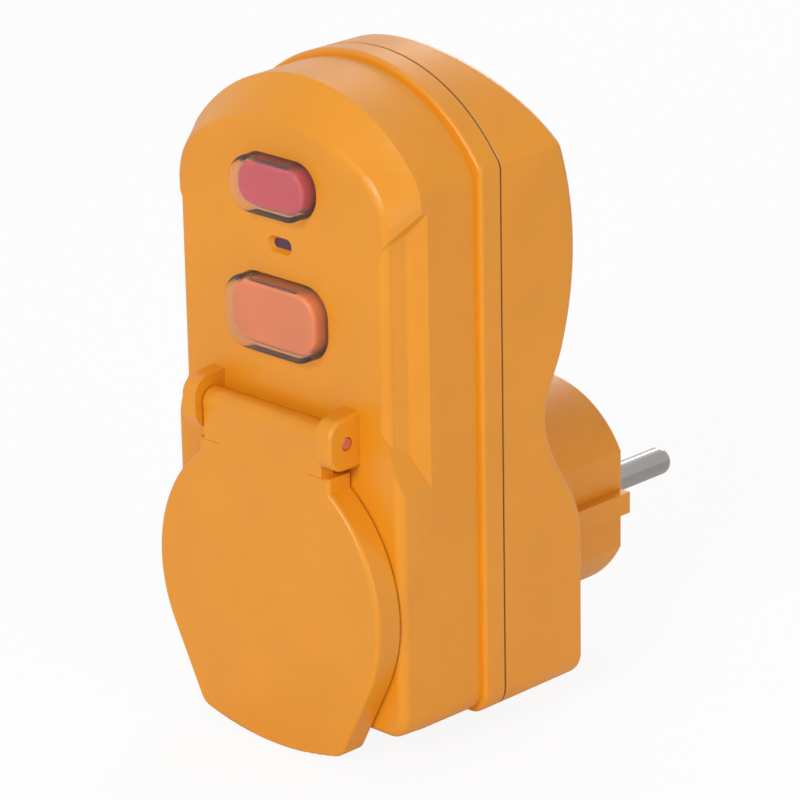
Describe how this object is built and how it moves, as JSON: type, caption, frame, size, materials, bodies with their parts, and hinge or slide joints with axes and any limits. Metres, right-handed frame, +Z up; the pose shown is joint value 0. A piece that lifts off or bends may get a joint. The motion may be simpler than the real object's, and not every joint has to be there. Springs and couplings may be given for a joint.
{
  "type": "plug-in residual-current adapter",
  "caption": "Plug-in residual-current adapter: two-pin earthed plug on the back, spring-lidded round socket in front, booted test and reset buttons, status lamp.",
  "frame": {"origin": "centre of the plug face, midway between the two pins", "axes": "+Z up, +X right as seen from the front, +Y out of the wall side along the plug pins; the socket and buttons face -Y"},
  "size_m": [0.0544, 0.0881, 0.1125],
  "materials": {
    "housing": "fine satin texture, orange-yellow",
    "socket_insert": "moulded orange-yellow, duller than the housing",
    "seal": "black elastomer",
    "screw": "zinc plated steel",
    "pin_nickel": "nickel plated brass, soft polish",
    "contact_brass": "bare stamped brass",
    "earth_metal": "nickel plated spring strip",
    "hinge_metal": "copper-coloured pin end",
    "spring_steel": "drawn spring wire",
    "shutter": "natural white acetal",
    "test_face": "red moulding",
    "reset_face": "orange moulding",
    "clear_boot": "clear silicone with a soft greyish edge",
    "lamp_window": "smoked violet lens",
    "lamp": "red epoxy",
    "board": "solder-masked glass laminate",
    "chassis": "glass-filled black nylon",
    "carrier": "natural polyamide",
    "silver_contact": "silver alloy on copper",
    "winding": "enamelled copper",
    "core": "epoxy coated tape-wound core",
    "yoke": "zinc plated steel strip",
    "wire_brown": "brown insulation",
    "wire_blue": "blue insulation",
    "varistor": "blue epoxy dip",
    "capacitor": "yellow box",
    "chip": "black epoxy package",
    "resistor": "beige lacquer"
  },
  "bodies": {
    "root": {"front_housing": "housing", "rear_housing": "housing", "housing_seal": "seal", "housing_screws": "screw", "board_screws": "screw", "plug_pin_live": "pin_nickel", "plug_pin_neutral": "pin_nickel", "plug_earth_contact_top": "earth_metal", "plug_earth_contact_bottom": "earth_metal", "socket_cup": "socket_insert", "socket_floor": "socket_insert", "socket_earth_bow": "earth_metal", "earth_link": "contact_brass", "shutter_pivot": "screw", "socket_contact_live": "contact_brass", "socket_contact_neutral": "contact_brass", "hinge_pin": "hinge_metal", "lid_spring": "spring_steel", "test_boot": "clear_boot", "reset_boot": "clear_boot", "test_spring": "spring_steel", "reset_spring": "spring_steel", "test_contact_leaf": "contact_brass", "lamp_window": "lamp_window", "lamp": "lamp", "circuit_board": "board", "mechanism_frame": "chassis", "fixed_contacts": "silver_contact", "carrier_spring": "spring_steel", "trip_bobbin": "carrier", "trip_winding": "winding", "trip_yoke": "yoke", "plunger_spring": "spring_steel", "transformer_core": "core", "transformer_winding": "winding", "transformer_holder": "chassis", "supply_wire_live": "wire_brown", "supply_wire_neutral": "wire_blue", "varistor": "varistor", "capacitor": "capacitor", "control_chip": "chip", "test_resistor": "resistor"},
    "lid": {"lid": "housing", "lid_seal": "seal"},
    "test_button": {"test_button": "test_face"},
    "reset_button": {"reset_button": "reset_face"},
    "contact_carrier": {"contact_carrier": "carrier", "moving_contacts": "silver_contact"},
    "trip_plunger": {"trip_plunger": "yoke"},
    "shutter": {"shutter": "shutter"}
  },
  "joints": [
    {"name": "lid_hinge", "type": "hinge", "parent": "root", "child": "lid", "pos_m": [0, -0.0653, 0.0282], "axis": [-1, 0, 0], "range_deg": [0, 105], "stiffness_Nm_per_rad": 0.008, "springref_deg": -68.75, "deforming": ["lid_spring"]},
    {"name": "test_press", "type": "slide", "parent": "root", "child": "test_button", "axis": [0, 1, 0], "range_m": [0, 0.0013], "stiffness_N_per_m": 400, "springref_m": -0.0005, "deforming": ["test_spring", "test_boot"]},
    {"name": "reset_press", "type": "slide", "parent": "root", "child": "reset_button", "axis": [0, 1, 0], "range_m": [0, 0.0013], "stiffness_N_per_m": 400, "springref_m": -0.0005, "deforming": ["reset_spring", "reset_boot"]},
    {"name": "carrier_slide", "type": "slide", "parent": "root", "child": "contact_carrier", "axis": [0, 1, 0], "range_m": [0, 0.0013], "stiffness_N_per_m": 200, "springref_m": -0.0005, "deforming": ["carrier_spring"]},
    {"name": "plunger_slide", "type": "slide", "parent": "root", "child": "trip_plunger", "axis": [0, 0, -1], "range_m": [0, 0.0015], "stiffness_N_per_m": 150, "springref_m": -0.0005, "deforming": ["plunger_spring"]},
    {"name": "shutter_turn", "type": "hinge", "parent": "root", "child": "shutter", "pos_m": [0, -0.0434, 0], "axis": [0, 1, 0], "range_deg": [0, 41], "stiffness_Nm_per_rad": 0.002, "springref_deg": -17.19}
  ],
  "couplings": [
    {"joint": "carrier_slide", "follows": "reset_press", "ratio": 1}
  ]
}
